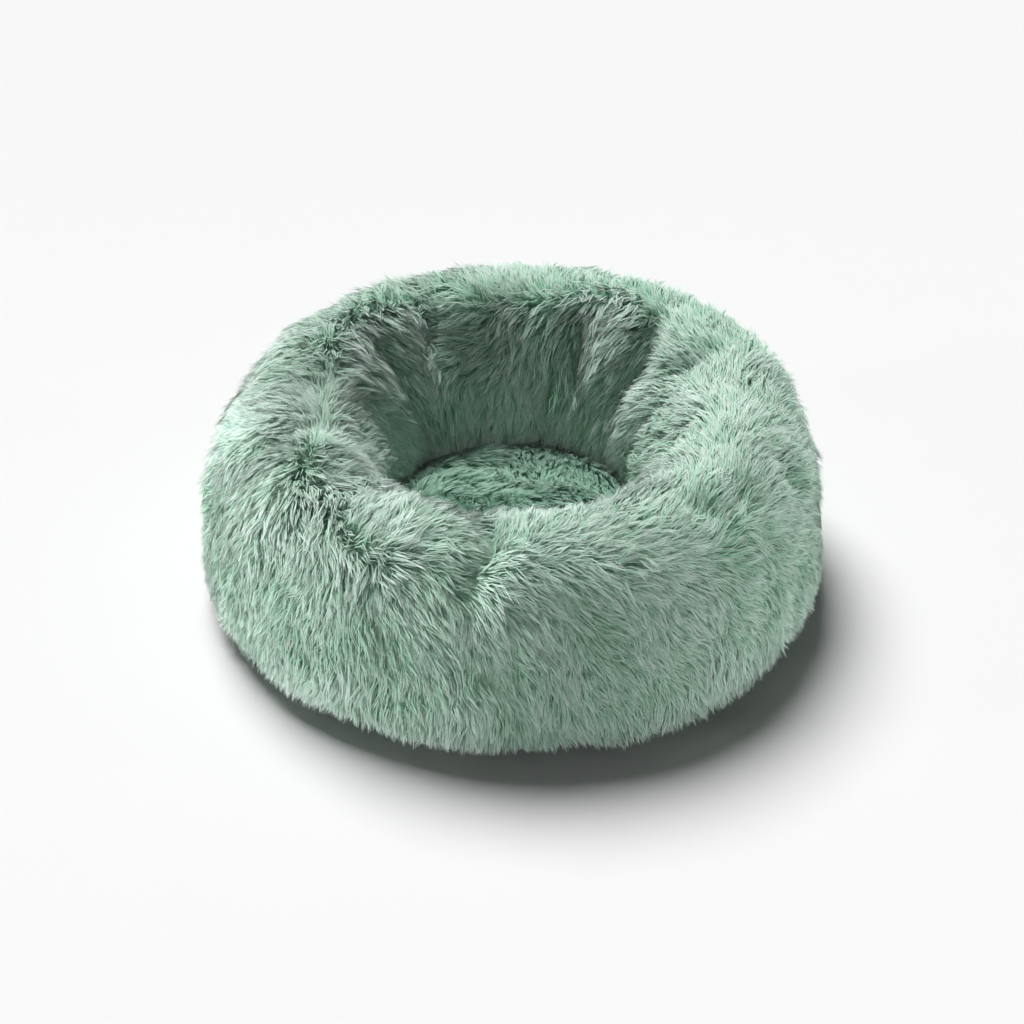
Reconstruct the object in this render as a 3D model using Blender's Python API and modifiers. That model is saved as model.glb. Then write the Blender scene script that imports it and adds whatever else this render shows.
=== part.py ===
# Round plush bed: a stuffed ring in a fur sleeve, a loose cushion in its well, and a base cloth with a zip
# Metres, +Z up. The origin is on the floor under the middle of the bed, and the front faces -Y.

import math

import bmesh
import bpy
from mathutils import Matrix

# Clearances between neighbouring pieces
seat_gap = 0.0003
fit_gap = 0.0010
cut_overrun = 0.0020

# The ring, measured over its pressed pile
bed_radius = 0.246
bed_height = 0.174
bolster_width = 0.146
crest_inset = 0.078
foot_inset = 0.022
tuck_height = 0.034
waist_height = 0.058
sleeve_thickness = 0.012
sleeve_hem = 0.012
gather_depth = 0.003

# Base cloth and the seam that joins the sleeve to it
base_thickness = 0.0012
base_wall_height = 0.0155
base_corner_radius = 0.0030
base_inset = 0.005
binding_width = 0.0040
binding_height = 0.0025

# Inside the ring
liner_thickness = 0.0010
liner_slit = 0.0040
slit_inset = 0.050
elastic_width = 0.0060
elastic_height = 0.0040

# Centre cushion
cushion_thickness = 0.056
cushion_side_gap = 0.0015
cushion_seam_height = 0.020
cushion_belly_rise = 0.011
cushion_seam_tuck = 0.004
cushion_pile = 0.008
cushion_cloth = 0.0010
cushion_binding_width = 0.0040
cushion_binding_height = 0.0030

# Zip in the back of the base's turned-up edge
zip_length = 0.340
zip_height = 0.0090
zip_slot = 0.0090
tape_thickness = 0.0008
coil_width = 0.0021
coil_depth = 0.0020
stop_length = 0.0030
stop_depth = 0.0026

# Slider and pull tab
slider_length = 0.0095
slider_height = 0.0072
slider_plate = 0.0014
bail_bore = 0.0013
bail_wall = 0.0012
bail_width = 0.0014
bail_rise = 0.0010
pull_length = 0.0240
pull_width = 0.0050
pull_thickness = 0.0012
pull_window = 0.0030
pull_hole = 0.0014
edge_round = 0.0004

# Care label hanging from the outer seam
label_width = 0.014
label_drop = 0.0125
label_thickness = 0.0006
label_turn_degrees = 152

# Counts and the powers of the rounded sections: 2 is an ellipse, more is squarer
ring_steps = 48
cushion_steps = 36
gathers = 12
inner_power = 2.0
shoulder_power = 2.3
tuck_power = 2.2
cushion_top_power = 3.0
cushion_bottom_power = 2.6
half_share = 0.5

# Places that follow from the sizes above
well_radius = bed_radius - bolster_width
crest_radius = bed_radius - crest_inset
foot_radius = bed_radius - foot_inset
base_radius = foot_radius - base_inset
skirt_height = base_wall_height + binding_height + 2 * seat_gap
bulge_height = skirt_height + tuck_height
floor_top = base_thickness + seat_gap
cushion_radius = well_radius - cushion_side_gap
tape_radius = base_radius - base_thickness
coil_radius = tape_radius + tape_thickness + seat_gap
zip_half_angle = zip_length * half_share / base_radius
slider_radius = coil_radius + coil_depth + seat_gap
pull_axis_rise = slider_plate + bail_rise


def make_material(name, colour, roughness, metallic=0.0):
    material = bpy.data.materials.new(name)
    material.use_nodes = True
    shader = material.node_tree.nodes["Principled BSDF"]
    shader.inputs["Base Color"].default_value = (*colour, 1.0)
    shader.inputs["Roughness"].default_value = roughness
    shader.inputs["Metallic"].default_value = metallic
    return material


def add_object(name, mesh, material, collection, sharp_degrees=35):
    mesh.shade_smooth()
    mesh.set_sharp_from_angle(angle=math.radians(sharp_degrees))
    part = bpy.data.objects.new(name, mesh)
    if material is not None:
        part.data.materials.append(material)
    collection.objects.link(part)
    return part


def mesh_from(shape, name):
    shape.normal_update()
    bmesh.ops.recalc_face_normals(shape, faces=shape.faces[:])
    mesh = bpy.data.meshes.new(name)
    shape.to_mesh(mesh)
    shape.free()
    return mesh


def superellipse(centre, reach, rise, power, spans):
    """Quarter curve from the point beside the centre to the point above or below it."""
    points = []
    for step in range(spans + 1):
        turn = math.pi / 2 * step / spans
        across = max(math.cos(turn), 0.0) ** (2 / power)
        along = math.sin(turn) ** (2 / power)
        points.append((centre[0] + reach * across, centre[1] + rise * along))
    return points


def offset_path(points, distance):
    """Open path moved to its right by the same distance all along, with mitred corners."""
    normals = []
    for (x0, z0), (x1, z1) in zip(points, points[1:]):
        length = math.hypot(x1 - x0, z1 - z0)
        normals.append(((z1 - z0) / length, (x0 - x1) / length))
    moved = []
    for index, (x, z) in enumerate(points):
        before = normals[max(index - 1, 0)]
        after = normals[min(index, len(normals) - 1)]
        scale = distance / (1 + before[0] * after[0] + before[1] * after[1])
        moved.append((x + scale * (before[0] + after[0]), z + scale * (before[1] + after[1])))
    return moved


def turned(name, section, steps, closed=True):
    """Mesh of a section turned about Z: it runs up the inner side and down the outer side."""
    profile = bpy.data.meshes.new(name + "_section")
    edges = [(index, index + 1) for index in range(len(section) - 1)]
    if closed:
        edges.append((len(section) - 1, 0))
    profile.from_pydata([(x, 0, z) for x, z in section], edges, [])
    holder = bpy.data.objects.new(name + "_section", profile)
    bpy.context.scene.collection.objects.link(holder)
    screw = holder.modifiers.new("turn", "SCREW")
    screw.axis = "Z"
    screw.steps = steps
    screw.render_steps = steps
    screw.use_merge_vertices = True
    screw.merge_threshold = 0.00001
    evaluated = holder.evaluated_get(bpy.context.evaluated_depsgraph_get())
    mesh = bpy.data.meshes.new_from_object(evaluated)
    bpy.data.objects.remove(holder)
    shape = bmesh.new()
    shape.from_mesh(mesh)
    bmesh.ops.remove_doubles(shape, verts=shape.verts[:], dist=0.00001)
    shape.to_mesh(mesh)
    shape.free()
    mesh.name = name
    return mesh


def rounded_ring(name, radius, height, width, tall, steps):
    """Ring with a six-sided section, its rounded sides up and down."""
    reach, rise = width * half_share, tall * half_share
    section = []
    for corner in range(6):
        turn = math.pi - corner * math.pi / 3
        section.append((radius + reach * math.cos(turn), height + rise * math.sin(turn) / math.sin(math.pi / 3)))
    return turned(name, section, steps)


def arc_block(name, inner, outer, low, high, start, end, pieces):
    """Block that follows the base's edge from one turn angle to another."""
    shape = bmesh.new()
    bmesh.ops.create_cube(shape, size=1)
    along = [edge for edge in shape.edges if abs(edge.verts[0].co.x - edge.verts[1].co.x) > half_share]
    bmesh.ops.subdivide_edges(shape, edges=along, cuts=pieces - 1, use_grid_fill=True)
    for vert in shape.verts:
        turn = start + (vert.co.x + half_share) * (end - start)
        reach = inner + (vert.co.y + half_share) * (outer - inner)
        rise = low + (vert.co.z + half_share) * (high - low)
        vert.co = (reach * math.cos(turn), reach * math.sin(turn), rise)
    return mesh_from(shape, name)


def block(name, size, centre, rounding=0.0):
    """Box with its edges rounded, in its own frame."""
    shape = bmesh.new()
    bmesh.ops.create_cube(shape, size=1, matrix=Matrix.Translation(centre) @ Matrix.Diagonal((*size, 1)))
    if rounding > 0:
        bmesh.ops.bevel(shape, geom=shape.edges[:], offset=rounding, segments=2, profile=half_share,
                        affect="EDGES")
    return mesh_from(shape, name)


def rod(name, radius, length, centre, turn, sides=20):
    """Round cutter with its ends closed."""
    shape = bmesh.new()
    bmesh.ops.create_cone(shape, cap_ends=True, segments=sides, radius1=radius, radius2=radius, depth=length,
                          matrix=Matrix.Translation(centre) @ turn)
    return mesh_from(shape, name)


def cut(part, cutter_mesh, cutters, parent=None):
    """Take a cutter's shape out of a part."""
    cutter = bpy.data.objects.new(cutter_mesh.name, cutter_mesh)
    cutters.objects.link(cutter)
    cutter.parent = parent
    cutter.hide_render = True
    cutter.display_type = "WIRE"
    boolean = part.modifiers.new(cutter_mesh.name, "BOOLEAN")
    boolean.operation = "DIFFERENCE"
    boolean.solver = "EXACT"
    boolean.object = cutter


def bolster_surface():
    """Visible section of the sleeve, from the well's foot over the crest to the hem under the bulge."""
    inner = superellipse((crest_radius, waist_height), well_radius - crest_radius,
                         bed_height - waist_height, inner_power, 3)
    outer = superellipse((crest_radius, bulge_height), bed_radius - crest_radius,
                         bed_height - bulge_height, shoulder_power, 4)
    tuck = superellipse((foot_radius, bulge_height), foot_inset, skirt_height - bulge_height, tuck_power, 3)
    foot = [(well_radius, floor_top)]
    hem = [(foot_radius - sleeve_hem, skirt_height)]
    return foot + inner + outer[::-1][1:] + tuck[1:] + hem


def bolster_inside(inset):
    """Closed outline of what fills the sleeve, drawn in on every side by the inset."""
    depth = sleeve_thickness + gather_depth + fit_gap + inset
    path = offset_path(bolster_surface(), depth)[:-1]
    bottom = floor_top + inset
    path[0] = (path[0][0], bottom)
    step_radius = foot_radius - sleeve_hem - fit_gap - inset
    slit_radius = well_radius + depth + slit_inset
    ledge = [(step_radius, path[-1][1]), (step_radius, bottom)]
    return [(slit_radius, bottom)] + path + ledge + [(slit_radius + liner_slit, bottom)]


def gather(mesh):
    """Draw the inner wall into shallow gathers that fade out towards the crest."""
    for vert in mesh.vertices:
        reach = math.hypot(vert.co.x, vert.co.y)
        fade = min(max((crest_radius - reach) / (crest_radius - well_radius), 0), 1)
        wave = (1 - math.cos(gathers * math.atan2(vert.co.y, vert.co.x))) * half_share
        scale = 1 + gather_depth * fade * wave / reach
        vert.co.x *= scale
        vert.co.y *= scale


def make_bolster(collection, fur, liner_cloth, fibre, elastic, binding):
    surface = bolster_surface()
    sleeve = turned("bolster_fur", surface + offset_path(surface, sleeve_thickness)[::-1], ring_steps)
    gather(sleeve)
    parts = [add_object("bolster_fur", sleeve, fur, collection, 60)]
    liner = turned("bolster_liner", bolster_inside(0.0) + bolster_inside(liner_thickness)[::-1], ring_steps)
    parts.append(add_object("bolster_liner", liner, liner_cloth, collection))
    filling = turned("bolster_filling", bolster_inside(liner_thickness + seat_gap), ring_steps)
    parts.append(add_object("bolster_filling", filling, fibre, collection))
    elastic_radius = well_radius - seat_gap - elastic_width * half_share
    elastic_ring = rounded_ring("gather_elastic", elastic_radius, floor_top + elastic_height * half_share,
                                elastic_width, elastic_height, cushion_steps)
    parts.append(add_object("gather_elastic", elastic_ring, elastic, collection))
    seam = rounded_ring("outer_seam_binding", base_radius - base_thickness * half_share,
                        base_wall_height + seat_gap + binding_height * half_share,
                        binding_width, binding_height, ring_steps)
    parts.append(add_object("outer_seam_binding", seam, binding, collection))
    return parts


def make_base(collection, cutters, cloth):
    corner = superellipse((base_radius - base_corner_radius, base_corner_radius), base_corner_radius,
                          -base_corner_radius, 2, 3)
    outside = [(base_radius, base_wall_height)] + corner + [(0.0, 0.0)]
    inside = offset_path(outside, base_thickness)[::-1]
    inside[0] = (0.0, inside[0][1])
    base = add_object("base_cloth", turned("base_cloth", inside + outside, ring_steps, closed=False),
                      cloth, collection)
    opening = arc_block("zip_slot_cutter", base_radius - base_thickness - cut_overrun, base_radius + cut_overrun,
                        zip_height - zip_slot * half_share, zip_height + zip_slot * half_share,
                        math.pi / 2 - zip_half_angle, math.pi / 2 + zip_half_angle, ring_steps)
    cut(base, opening, cutters)
    return base


def make_cushion(collection, carrier, fur, cloth, fibre, binding):
    bottom = floor_top
    seam = bottom + cushion_seam_height
    belly = seam + cushion_belly_rise
    top = bottom + cushion_thickness
    seam_radius = cushion_radius - cushion_seam_tuck
    seam_gap = cushion_binding_height * half_share + seat_gap
    dome = superellipse((0.0, belly), cushion_radius, top - belly, cushion_top_power, 6)[::-1]
    skin = dome + [(seam_radius, seam + seam_gap)]
    lining = offset_path(skin, cushion_pile)[::-1]
    lining[0] = (lining[0][0], seam + seam_gap)
    lining[-1] = (0.0, lining[-1][1])
    pieces = [add_object("cushion_fur_top", turned("cushion_fur_top", skin + lining, cushion_steps, closed=False),
                         fur, collection, 60)]
    dish = superellipse((0.0, seam - seam_gap), seam_radius, bottom - seam + seam_gap, cushion_bottom_power, 5)
    dish_inside = offset_path(dish, cushion_cloth)[::-1]
    dish_inside[0] = (0.0, dish_inside[0][1])
    dish_inside[-1] = (dish_inside[-1][0], seam - seam_gap)
    underside = turned("cushion_underside", dish_inside + dish, cushion_steps, closed=False)
    pieces.append(add_object("cushion_underside", underside, cloth, collection))
    upper = offset_path(skin, cushion_pile + fit_gap)
    upper[0] = (0.0, upper[0][1])
    upper[-1] = (upper[-1][0], seam)
    lower = offset_path(dish, cushion_cloth + fit_gap)
    lower[-1] = (0.0, lower[-1][1])
    lower[0] = (min(lower[0][0], upper[-1][0]), lower[0][1])
    pad = turned("cushion_filling", upper + lower, cushion_steps, closed=False)
    pieces.append(add_object("cushion_filling", pad, fibre, collection))
    welt = rounded_ring("cushion_edge_binding", seam_radius - cushion_binding_width * half_share, seam,
                        cushion_binding_width, cushion_binding_height, cushion_steps)
    pieces.append(add_object("cushion_edge_binding", welt, binding, collection))
    for piece in pieces:
        piece.parent = carrier
    return pieces


def make_zip(collection, tape_cloth, coil_plastic):
    middle = math.pi / 2
    start, end = middle - zip_half_angle, middle + zip_half_angle
    end_gap = seat_gap / base_radius
    stop_angle = stop_length / base_radius
    row_gap = seat_gap * half_share
    slot_reach = zip_slot * half_share - seat_gap
    bands = (("lower", zip_height - slot_reach, zip_height - row_gap, -1),
             ("upper", zip_height + row_gap, zip_height + slot_reach, 1))
    parts = []
    for side, low, high, way in bands:
        tape = arc_block("zip_tape_" + side, tape_radius, tape_radius + tape_thickness, low, high,
                         start + end_gap, end - end_gap, 24)
        parts.append(add_object("zip_tape_" + side, tape, tape_cloth, collection))
        near, far = zip_height + way * row_gap, zip_height + way * (row_gap + coil_width)
        coil = arc_block("zip_coil_" + side, coil_radius, coil_radius + coil_depth, min(near, far), max(near, far),
                         start + stop_angle + 2 * end_gap, end - stop_angle - 2 * end_gap, 24)
        parts.append(add_object("zip_coil_" + side, coil, coil_plastic, collection))
    stop_reach = row_gap + coil_width
    for name, first, last in (("zip_stop_start", start + end_gap, start + end_gap + stop_angle),
                              ("zip_stop_end", end - end_gap - stop_angle, end - end_gap)):
        stop = arc_block(name, coil_radius, coil_radius + stop_depth, zip_height - stop_reach,
                         zip_height + stop_reach, first, last, 1)
        parts.append(add_object(name, stop, coil_plastic, collection))
    return parts


def make_slider(collection, cutters, carrier, metal):
    """Slider plate with two flanges beside the coils and a bail for the pull tab, outwards along +X."""
    side_reach = coil_width + seat_gap
    flange = slider_height * half_share - side_reach - seat_gap
    depth = slider_plate + coil_depth
    centre_x = slider_radius + slider_plate - depth * half_share
    body = block("zip_slider", (depth, slider_length, slider_height), (centre_x, 0, 0), edge_round)
    slider = add_object("zip_slider", body, metal, collection)
    channel_height = slider_height - 2 * flange
    channel = block("slider_channel_cutter", (coil_depth + cut_overrun, slider_length + 2 * cut_overrun, channel_height),
                    (slider_radius - (coil_depth + cut_overrun) * half_share, 0, 0))
    cut(slider, channel, cutters, carrier)
    bail_reach = bail_bore + bail_wall
    bail_top = pull_axis_rise + bail_reach
    bail = block("slider_bail", (bail_top - slider_plate * half_share, 2 * bail_reach, bail_width),
                 (slider_radius + (bail_top + slider_plate * half_share) * half_share, 0, 0), edge_round)
    bail_object = bpy.data.objects.new("slider_bail", bail)
    cutters.objects.link(bail_object)
    bail_object.parent = carrier
    bail_object.hide_render = True
    bail_object.display_type = "WIRE"
    union = slider.modifiers.new("bail", "BOOLEAN")
    union.operation = "UNION"
    union.solver = "EXACT"
    union.object = bail_object
    eye = rod("bail_eye_cutter", bail_bore, slider_height, (slider_radius + pull_axis_rise, 0, 0),
              Matrix.Identity(4))
    cut(slider, eye, cutters, carrier)
    slider.parent = carrier
    return slider


def make_pull(collection, cutters, carrier, metal):
    """Pull tab: its bar lies in the bail's eye and the tab points along +Y at rest."""
    bar_reach = pull_thickness * half_share
    size = (pull_thickness, pull_length, pull_width)
    pull = add_object("zip_pull", block("zip_pull", size, (0, pull_length * half_share - bar_reach, 0), edge_round),
                      metal, collection)
    window = block("pull_window_cutter", (pull_thickness + 2 * cut_overrun, pull_window, pull_width * half_share),
                   (0, bar_reach + pull_window * half_share, 0))
    cut(pull, window, cutters, carrier)
    hole_place = pull_length - bar_reach - 2 * pull_hole
    hole = rod("pull_hole_cutter", pull_hole, pull_thickness + 2 * cut_overrun, (0, hole_place, 0),
               Matrix.Rotation(math.pi / 2, 4, "Y"))
    cut(pull, hole, cutters, carrier)
    pull.parent = carrier
    return pull


def make_label(collection, cloth):
    turn = math.radians(label_turn_degrees)
    radius = base_radius + binding_width * half_share
    top = base_wall_height + binding_height * half_share
    half_turn = label_width * half_share / radius
    label = arc_block("care_label", radius, radius + label_thickness, top - label_drop, top,
                      turn - half_turn, turn + half_turn, 4)
    return add_object("care_label", label, cloth, collection)


def add_empty(name, location, collection, parent=None):
    empty = bpy.data.objects.new(name, None)
    empty.empty_display_size = bed_height * half_share
    empty.location = location
    empty.parent = parent
    collection.objects.link(empty)
    return empty


def main():
    for thing in list(bpy.data.objects):
        bpy.data.objects.remove(thing, do_unlink=True)
    scene = bpy.context.scene
    collection = bpy.data.collections.new("round_plush_bed")
    cutters = bpy.data.collections.new("cutters")
    scene.collection.children.link(collection)
    scene.collection.children.link(cutters)

    fur = make_material("mint_fur", (0.36, 0.56, 0.45), 0.85)
    fibre = make_material("white_fibre", (0.88, 0.88, 0.86), 0.95)
    nonwoven = make_material("white_nonwoven", (0.80, 0.81, 0.80), 0.90)
    base_cloth = make_material("grey_green_base_cloth", (0.20, 0.26, 0.23), 0.80)
    ribbon = make_material("sage_binding", (0.25, 0.37, 0.31), 0.75)
    elastic = make_material("white_elastic", (0.78, 0.80, 0.78), 0.70)
    zip_plastic = make_material("sage_zip_plastic", (0.27, 0.40, 0.33), 0.45)
    zip_metal = make_material("zip_metal", (0.62, 0.62, 0.60), 0.35, 1.0)
    satin = make_material("white_satin", (0.85, 0.86, 0.84), 0.50)

    bed = add_empty("bed", (0, 0, 0), collection)
    for part in make_bolster(collection, fur, nonwoven, fibre, elastic, ribbon):
        part.parent = bed
    make_base(collection, cutters, base_cloth).parent = bed
    for part in make_zip(collection, ribbon, zip_plastic):
        part.parent = bed
    make_label(collection, satin).parent = bed

    cushion_carrier = add_empty("centre_cushion", (0, 0, 0), collection, bed)
    make_cushion(collection, cushion_carrier, fur, base_cloth, fibre, ribbon)

    rest_gap = stop_length + slider_length * half_share + 3 * seat_gap
    rest_turn = math.pi / 2 - zip_half_angle + rest_gap / base_radius
    slider_carrier = add_empty("slider_turn", (0, 0, zip_height), collection, bed)
    slider_carrier.rotation_euler = (0, 0, rest_turn)
    make_slider(collection, cutters, slider_carrier, zip_metal)
    pull_carrier = add_empty("pull_turn", (slider_radius + pull_axis_rise, 0, 0), collection, slider_carrier)
    make_pull(collection, cutters, pull_carrier, zip_metal)


main()
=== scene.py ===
import math

import bpy
import numpy as np
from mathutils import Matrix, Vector
from mathutils.bvhtree import BVHTree
from mathutils.kdtree import KDTree


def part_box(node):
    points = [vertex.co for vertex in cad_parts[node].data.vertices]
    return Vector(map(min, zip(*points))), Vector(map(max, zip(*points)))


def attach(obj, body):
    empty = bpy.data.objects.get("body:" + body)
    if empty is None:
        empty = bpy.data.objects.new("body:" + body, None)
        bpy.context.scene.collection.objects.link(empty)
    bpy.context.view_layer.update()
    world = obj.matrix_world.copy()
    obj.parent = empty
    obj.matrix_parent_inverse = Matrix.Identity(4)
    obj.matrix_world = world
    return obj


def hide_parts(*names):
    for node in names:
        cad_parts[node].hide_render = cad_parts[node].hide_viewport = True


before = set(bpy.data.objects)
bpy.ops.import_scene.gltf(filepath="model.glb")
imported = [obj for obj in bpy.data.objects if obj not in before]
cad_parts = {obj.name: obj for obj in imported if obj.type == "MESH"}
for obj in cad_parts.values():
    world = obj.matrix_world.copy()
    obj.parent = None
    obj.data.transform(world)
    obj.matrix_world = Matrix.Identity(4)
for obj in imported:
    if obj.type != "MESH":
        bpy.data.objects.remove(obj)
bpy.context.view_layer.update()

# Sizes read from the frame
bed_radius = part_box("bolster_fur")[1].x
bed_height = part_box("bolster_fur")[1].z
base_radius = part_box("base_cloth")[1].x
wall_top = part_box("base_cloth")[1].z
skirt_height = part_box("outer_seam_binding")[1].z
floor_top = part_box("cushion_underside")[0].z
pad_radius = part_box("cushion_fur_top")[1].x
pad_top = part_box("cushion_fur_top")[1].z
pad_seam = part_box("cushion_fur_top")[0].z
zip_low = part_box("zip_tape_lower")[0].z
zip_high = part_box("zip_tape_upper")[1].z
zip_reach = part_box("zip_tape_lower")[1].x
zip_half_turn = math.atan2(zip_reach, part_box("zip_tape_lower")[0].y)

# The ring's section, as in the frame, and how deep its cloth lies under the pressed pile
crest_inset = 0.078
bolster_width = 0.146
foot_inset = 0.022
waist_height = 0.058
bulge_height = skirt_height + 0.034
crest_radius = bed_radius - crest_inset
well_radius = bed_radius - bolster_width
foot_radius = bed_radius - foot_inset
inner_power = 2.0
shoulder_power = 2.3
tuck_power = 2.2
skin_depth = 0.0085
gathers = 12
gather_depth = 0.004

# Pile: length and thickness of a lock, the pitch of its roots and of the tufts that locks gather into
lock_length = 0.0225
lock_girth = 0.00066
lock_pitch = 0.00200
stray_girth = 0.00052
stray_pitch = 0.0017
tuft_pitch = 0.0037
wisp_span = 3.6
lock_steps = ((0.48, 1.15),)
skin_shading = 0.72
pad_lock_length = 0.0190
pad_skin_depth = -0.0055
pad_swell = 0.0035
pad_power = 5.0

# Sheets, seams and zip: the opening's edges, how high the sole's dots lift it, and the label
row_step = 0.001
zip_slot_low = zip_low - 0.0003
zip_slot_high = zip_high + 0.0003
sole_rise = 0.0005
dot_pitch = 0.0100
floor_gap = 0.0002
floor_reach = 2.2
lamp_aim = Vector((0, 0, 0.08))
label_width = 0.014

# The camera, which takes in the photograph's square of 1024 pixels
photo_width = 1024
focus_pixels = 3240
camera_distance = 2.6
camera_elevation = math.radians(34.8)
camera_middle = Vector((0, 0, 0.08))
camera_aim = Vector((0, 0, 0.0615))

# How the pile lies in the photograph: column, row, and the way that the tips point, clockwise from the right
wall_marks = (
    (212, 450, 112), (240, 472, 118), (222, 520, 97), (255, 560, 92), (290, 582, 92), (238, 622, 88),
    (300, 640, 90), (350, 604, 90), (345, 662, 86), (392, 604, 62), (420, 644, 66), (472, 612, 45),
    (432, 572, 32), (420, 551, 12), (480, 650, 78), (400, 692, 84), (330, 700, 92), (460, 704, 78),
    (522, 642, 62), (518, 594, 36), (560, 604, 48), (602, 628, 54), (560, 668, 70), (540, 716, 70),
    (590, 692, 86), (622, 704, 60), (642, 590, 28), (702, 604, 32), (660, 652, 40), (742, 626, 35),
    (700, 684, 32), (650, 722, 44), (782, 604, 48), (790, 560, 22), (742, 560, 10), (682, 550, 4),
    (622, 556, 0), (802, 524, 8), (310, 532, 94), (332, 552, 90), (272, 502, 108))
rim_marks = (
    (380, 500, -50), (402, 530, -24), (440, 512, -14), (462, 536, -4), (420, 490, -42), (366, 522, -62),
    (520, 522, -58), (506, 550, -32), (560, 512, -42), (562, 546, -20), (612, 502, -36), (622, 532, -20),
    (650, 516, -46), (692, 530, -24), (684, 492, -32), (330, 462, 4), (382, 472, 6), (350, 442, 10),
    (255, 440, 138), (232, 482, 112), (266, 470, 128), (288, 378, 178), (250, 402, 178), (310, 360, 172),
    (300, 402, 180), (300, 330, 165))
well_marks = (
    (650, 402, 152), (650, 442, 160), (636, 464, 152), (680, 422, 166), (690, 452, 176), (602, 350, 128),
    (616, 372, 130), (602, 322, 118), (586, 372, 126), (626, 342, 126), (606, 410, 134), (594, 440, 110),
    (570, 342, 110), (574, 402, 100), (552, 382, 90), (520, 345, 120), (515, 402, 100),
    (480, 402, 94), (500, 432, 98), (545, 422, 95), (465, 422, 88), (455, 362, 158), (472, 350, 166),
    (426, 402, 68), (402, 352, 52), (386, 330, 42), (432, 432, 76), (400, 440, 52), (372, 420, 24),
    (350, 410, 10), (414, 456, 60), (380, 454, 26), (420, 350, 60), (366, 386, 20), (362, 350, 36))
crest_marks = (
    (712, 386, -130), (690, 390, -146), (733, 376, -92), (756, 380, -64), (780, 402, -40), (764, 422, -44),
    (735, 432, -92), (716, 440, -102), (756, 446, -60), (776, 466, -24), (796, 440, -14), (802, 482, -4),
    (760, 482, -26), (735, 470, -86), (712, 472, -102), (720, 496, -80), (780, 502, 2), (692, 502, -44),
    (702, 334, -140), (730, 338, -104))
pad_marks = (
    (410, 466, 8), (432, 476, 12), (445, 458, 4), (462, 482, 0), (470, 464, -8), (500, 455, 20),
    (520, 470, 60), (545, 460, 84), (575, 465, 96), (560, 482, 100), (600, 470, 80), (596, 486, 110))

# Folds in the ring's cloth, where the pile is also painted darker as shade: points down each fold in the photograph,
# its depth and its half width
folds = (
    (((386, 338), (406, 362), (414, 388), (430, 416), (441, 440)), 0.013, 0.013),
    (((447, 292), (443, 312), (438, 334)), 0.010, 0.011),
    (((656, 320), (641, 350), (622, 386)), 0.016, 0.012),
    (((671, 367), (695, 358), (717, 349)), 0.008, 0.009),
    (((700, 510), (722, 515), (738, 504), (746, 494)), 0.009, 0.009),
    (((492, 526), (487, 544), (476, 558)), 0.012, 0.010),
    (((462, 572), (469, 590)), 0.011, 0.010),
    (((580, 322), (574, 376)), 0.016, 0.011),
    (((292, 424), (262, 442)), 0.008, 0.012),
    (((782, 470), (797, 478)), 0.009, 0.009))
# Patches where the pile stands up, and is painted a little darker there as shade: their middles in the photograph,
# how much it does and their half width
standing = (
    (((340, 384),), 0.8, 0.018),
    (((262, 430), (300, 450)), 0.8, 0.020),
    (((296, 492),), 0.7, 0.020),
    (((352, 512),), 0.6, 0.018),
    (((476, 306), (512, 330)), 0.6, 0.018),
    (((580, 300),), 0.3, 0.018),
    (((400, 300),), 0.3, 0.014),
    (((545, 340),), 0.5, 0.014),
    (((280, 690),), 0.4, 0.026))
swells = (
    (((474, 312),), 0.008, 0.018),
    (((548, 316), (553, 392)), 0.012, 0.012),
    (((612, 346), (600, 376)), 0.009, 0.014),
    (((700, 320), (770, 372)), 0.014, 0.030),
    (((690, 396), (740, 430)), 0.007, 0.022),
    (((330, 456), (396, 472)), 0.006, 0.014),
    (((520, 520), (570, 508)), 0.005, 0.016),
    (((420, 504),), 0.005, 0.016),
    (((640, 420), (640, 470)), 0.009, 0.026),
    (((630, 710), (730, 660)), 0.008, 0.046),
    (((300, 680),), 0.003, 0.040),
    (((470, 286), (560, 283), (650, 300)), 0.015, 0.030),
    (((440, 718), (500, 724)), 0.005, 0.030),
    (((300, 338), (350, 308), (410, 290)), 0.007, 0.030))


def deselect():
    for thing in bpy.context.selected_objects:
        thing.select_set(False)


def activate(thing):
    deselect()
    thing.select_set(True)
    bpy.context.view_layer.objects.active = thing


def apply_modifiers(thing):
    activate(thing)
    for modifier in list(thing.modifiers):
        bpy.ops.object.modifier_apply(modifier=modifier.name)


def get_points(thing):
    points = np.empty(len(thing.data.vertices) * 3, np.float32)
    thing.data.vertices.foreach_get("co", points)
    return points.reshape(-1, 3).astype(float)


def set_points(thing, points):
    thing.data.vertices.foreach_set("co", points.astype(np.float32).ravel())
    thing.data.update()


def unit(vectors):
    return vectors / np.maximum(np.linalg.norm(vectors, axis=-1, keepdims=True), 1e-9)


def ripple(points, wavelength, key, waves=14):
    """Smooth wandering value of about unit size at each point."""
    draw = np.random.default_rng(key)
    ways = unit(draw.normal(size=(waves, 3)))
    pitch = 2 * math.pi / wavelength * draw.uniform(0.6, 1.4, waves)
    phase = draw.uniform(0, 2 * math.pi, waves)
    return np.sin(points @ (ways * pitch[:, None]).T + phase).sum(1) * math.sqrt(2 / waves)


def smooth_step(value, low, high):
    share = np.clip((value - low) / (high - low), 0, 1)
    return share * share * (3 - 2 * share)


# Materials

def new_material(name):
    material = bpy.data.materials.new(name)
    material.use_nodes = True
    tree = material.node_tree
    return material, tree, tree.nodes["Principled BSDF"]


def add_node(tree, kind, **settings):
    node = tree.nodes.new(kind)
    for key, value in settings.items():
        setattr(node, key, value)
    return node


def set_inputs(node, **values):
    for key, value in values.items():
        node.inputs[key.replace("_", " ")].default_value = value


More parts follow.
